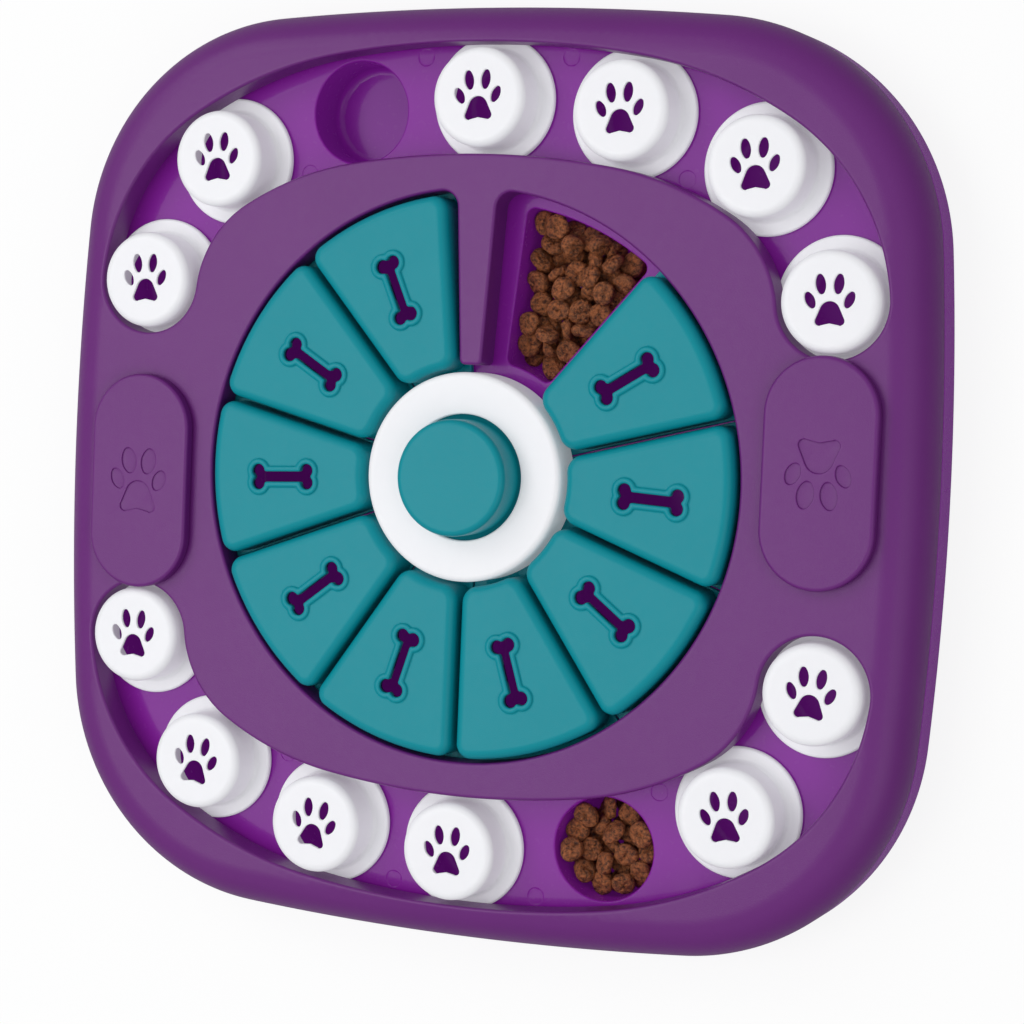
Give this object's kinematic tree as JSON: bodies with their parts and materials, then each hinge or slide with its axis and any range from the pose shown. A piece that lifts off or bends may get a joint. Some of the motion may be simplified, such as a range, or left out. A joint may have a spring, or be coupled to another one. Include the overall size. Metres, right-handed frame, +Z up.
{
  "type": "dog puzzle feeder toy",
  "caption": "Rounded-square dog puzzle board: paw-cut sliding knobs in two curved tracks and a ring of bone-cut wedge covers round a squeaker button hide kibble wells; two side pads slide",
  "frame": {"origin": "under the middle of the board, on the floor it stands on", "axes": "+Z up out of the board, +Y towards the back track, +X towards the right pad"},
  "size_m": [0.381, 0.381, 0.0573],
  "materials": {
    "tray_plastic": "smooth moulded purple plastic with a soft gloss",
    "cover_plastic": "fine-grained satin purple plastic",
    "white_plastic": "satin white plastic",
    "teal_plastic": "satin teal plastic",
    "squeaker_vinyl": "soft off-white vinyl",
    "foot_rubber": "dark rubber",
    "screw_steel": "plain zinc-plated steel"
  },
  "bodies": {
    "base": {"tray": "tray_plastic", "back_well_tray_1": "tray_plastic", "back_well_tray_2": "tray_plastic", "back_well_tray_3": "tray_plastic", "back_well_tray_4": "tray_plastic", "back_well_tray_5": "tray_plastic", "front_well_tray_1": "tray_plastic", "front_well_tray_2": "tray_plastic", "front_well_tray_3": "tray_plastic", "front_well_tray_4": "tray_plastic", "front_well_tray_5": "tray_plastic", "pocket_tray_1": "tray_plastic", "pocket_tray_2": "tray_plastic", "pocket_tray_3": "tray_plastic", "pocket_tray_4": "tray_plastic", "pocket_tray_5": "tray_plastic", "cover": "cover_plastic", "center_ring": "white_plastic", "squeaker": "squeaker_vinyl", "feet": "foot_rubber", "cover_screws": "screw_steel", "ring_screws": "screw_steel"},
    "back_slider_1": {"back_slider_1": "white_plastic"},
    "back_slider_2": {"back_slider_2": "white_plastic"},
    "back_slider_3": {"back_slider_3": "white_plastic"},
    "back_slider_4": {"back_slider_4": "white_plastic"},
    "back_slider_5": {"back_slider_5": "white_plastic"},
    "back_slider_6": {"back_slider_6": "white_plastic"},
    "front_slider_1": {"front_slider_1": "white_plastic"},
    "front_slider_2": {"front_slider_2": "white_plastic"},
    "front_slider_3": {"front_slider_3": "white_plastic"},
    "front_slider_4": {"front_slider_4": "white_plastic"},
    "front_slider_5": {"front_slider_5": "white_plastic"},
    "front_slider_6": {"front_slider_6": "white_plastic"},
    "bone_wedge_1": {"bone_wedge_1": "teal_plastic"},
    "bone_wedge_2": {"bone_wedge_2": "teal_plastic"},
    "bone_wedge_3": {"bone_wedge_3": "teal_plastic"},
    "bone_wedge_4": {"bone_wedge_4": "teal_plastic"},
    "bone_wedge_5": {"bone_wedge_5": "teal_plastic"},
    "bone_wedge_6": {"bone_wedge_6": "teal_plastic"},
    "bone_wedge_7": {"bone_wedge_7": "teal_plastic"},
    "bone_wedge_8": {"bone_wedge_8": "teal_plastic"},
    "bone_wedge_9": {"bone_wedge_9": "teal_plastic"},
    "button": {"button": "teal_plastic"},
    "pad_left": {"pad_left": "cover_plastic", "pad_keeper_left": "cover_plastic", "pad_screws_left": "screw_steel"},
    "pad_right": {"pad_right": "cover_plastic", "pad_keeper_right": "cover_plastic", "pad_screws_right": "screw_steel"}
  },
  "joints": [
    {"name": "back_slider_2_along_track", "type": "hinge", "parent": "base", "child": "back_slider_2", "pos_m": [-0.03613, -0.00421, 0.0264], "axis": [0, 0, 1], "range_deg": [-22.6, 0]},
    {"name": "back_slider_1_along_track", "type": "hinge", "parent": "base", "child": "back_slider_1", "pos_m": [-0.08092, 0.06803, 0.0264], "axis": [0, 0, 1], "range_deg": [-52, 0]},
    {"name": "back_slider_3_along_track", "type": "hinge", "parent": "base", "child": "back_slider_3", "pos_m": [0, -0.2273, 0.0264], "axis": [0, 0, 1], "range_deg": [0, 9.2]},
    {"name": "back_slider_4_along_track", "type": "hinge", "parent": "base", "child": "back_slider_4", "pos_m": [0, -0.2273, 0.0264], "axis": [0, 0, 1], "range_deg": [0, 9.2]},
    {"name": "back_slider_5_along_track", "type": "hinge", "parent": "base", "child": "back_slider_5", "pos_m": [0.03613, -0.00421, 0.0264], "axis": [0, 0, 1], "range_deg": [0, 22.6]},
    {"name": "back_slider_6_along_track", "type": "hinge", "parent": "base", "child": "back_slider_6", "pos_m": [0.08092, 0.06803, 0.0264], "axis": [0, 0, 1], "range_deg": [0, 52]},
    {"name": "front_slider_2_along_track", "type": "hinge", "parent": "base", "child": "front_slider_2", "pos_m": [0.03613, 0.00421, 0.0264], "axis": [0, 0, 1], "range_deg": [-22.6, 0]},
    {"name": "front_slider_1_along_track", "type": "hinge", "parent": "base", "child": "front_slider_1", "pos_m": [0.08092, -0.06803, 0.0264], "axis": [0, 0, 1], "range_deg": [-52, 0]},
    {"name": "front_slider_3_along_track", "type": "hinge", "parent": "base", "child": "front_slider_3", "pos_m": [0, 0.2273, 0.0264], "axis": [0, 0, 1], "range_deg": [0, 9.2]},
    {"name": "front_slider_4_along_track", "type": "hinge", "parent": "base", "child": "front_slider_4", "pos_m": [0, 0.2273, 0.0264], "axis": [0, 0, 1], "range_deg": [0, 9.2]},
    {"name": "front_slider_5_along_track", "type": "hinge", "parent": "base", "child": "front_slider_5", "pos_m": [-0.03613, 0.00421, 0.0264], "axis": [0, 0, 1], "range_deg": [0, 22.6]},
    {"name": "front_slider_6_along_track", "type": "hinge", "parent": "base", "child": "front_slider_6", "pos_m": [-0.08092, -0.06803, 0.0264], "axis": [0, 0, 1], "range_deg": [0, 52]},
    {"name": "bone_wedge_1_turn", "type": "hinge", "parent": "base", "child": "bone_wedge_1", "pos_m": [0, 0, 0.0264], "axis": [0, 0, 1], "range_deg": [0, 34.8]},
    {"name": "bone_wedge_2_turn", "type": "hinge", "parent": "base", "child": "bone_wedge_2", "pos_m": [0, 0, 0.0264], "axis": [0, 0, 1], "range_deg": [0, 34.8]},
    {"name": "bone_wedge_3_turn", "type": "hinge", "parent": "base", "child": "bone_wedge_3", "pos_m": [0, 0, 0.0264], "axis": [0, 0, 1], "range_deg": [0, 34.8]},
    {"name": "bone_wedge_4_turn", "type": "hinge", "parent": "base", "child": "bone_wedge_4", "pos_m": [0, 0, 0.0264], "axis": [0, 0, 1], "range_deg": [0, 34.8]},
    {"name": "bone_wedge_5_turn", "type": "hinge", "parent": "base", "child": "bone_wedge_5", "pos_m": [0, 0, 0.0264], "axis": [0, 0, 1], "range_deg": [0, 34.8]},
    {"name": "bone_wedge_6_turn", "type": "hinge", "parent": "base", "child": "bone_wedge_6", "pos_m": [0, 0, 0.0264], "axis": [0, 0, 1], "range_deg": [0, 34.8]},
    {"name": "bone_wedge_7_turn", "type": "hinge", "parent": "base", "child": "bone_wedge_7", "pos_m": [0, 0, 0.0264], "axis": [0, 0, 1], "range_deg": [0, 34.8]},
    {"name": "bone_wedge_8_turn", "type": "hinge", "parent": "base", "child": "bone_wedge_8", "pos_m": [0, 0, 0.0264], "axis": [0, 0, 1], "range_deg": [0, 34.8]},
    {"name": "bone_wedge_9_turn", "type": "hinge", "parent": "base", "child": "bone_wedge_9", "pos_m": [0, 0, 0.0264], "axis": [0, 0, 1], "range_deg": [0, 34.8]},
    {"name": "button_press", "type": "slide", "parent": "base", "child": "button", "axis": [0, 0, -1], "range_m": [0, 0.005], "stiffness_N_per_m": 300, "springref_m": -0.003, "deforming": ["squeaker"]},
    {"name": "pad_left_slide", "type": "slide", "parent": "base", "child": "pad_left", "axis": [0, 1, 0], "range_m": [0, 0.01947]},
    {"name": "pad_right_slide", "type": "slide", "parent": "base", "child": "pad_right", "axis": [0, 1, 0], "range_m": [-0.01947, 0]}
  ],
  "couplings": [
    {"joint": "back_slider_1_along_track", "follows": "back_slider_2_along_track", "ratio": 2.3009},
    {"joint": "back_slider_4_along_track", "follows": "back_slider_3_along_track", "ratio": 1},
    {"joint": "back_slider_5_along_track", "follows": "back_slider_3_along_track", "ratio": 2.4565},
    {"joint": "back_slider_6_along_track", "follows": "back_slider_3_along_track", "ratio": 5.6522},
    {"joint": "front_slider_1_along_track", "follows": "front_slider_2_along_track", "ratio": 2.3009},
    {"joint": "front_slider_4_along_track", "follows": "front_slider_3_along_track", "ratio": 1},
    {"joint": "front_slider_5_along_track", "follows": "front_slider_3_along_track", "ratio": 2.4565},
    {"joint": "front_slider_6_along_track", "follows": "front_slider_3_along_track", "ratio": 5.6522},
    {"joint": "bone_wedge_2_turn", "follows": "bone_wedge_1_turn", "ratio": 1},
    {"joint": "bone_wedge_3_turn", "follows": "bone_wedge_1_turn", "ratio": 1},
    {"joint": "bone_wedge_4_turn", "follows": "bone_wedge_1_turn", "ratio": 1},
    {"joint": "bone_wedge_5_turn", "follows": "bone_wedge_1_turn", "ratio": 1},
    {"joint": "bone_wedge_6_turn", "follows": "bone_wedge_1_turn", "ratio": 1},
    {"joint": "bone_wedge_7_turn", "follows": "bone_wedge_1_turn", "ratio": 1},
    {"joint": "bone_wedge_8_turn", "follows": "bone_wedge_1_turn", "ratio": 1},
    {"joint": "bone_wedge_9_turn", "follows": "bone_wedge_1_turn", "ratio": 1}
  ]
}
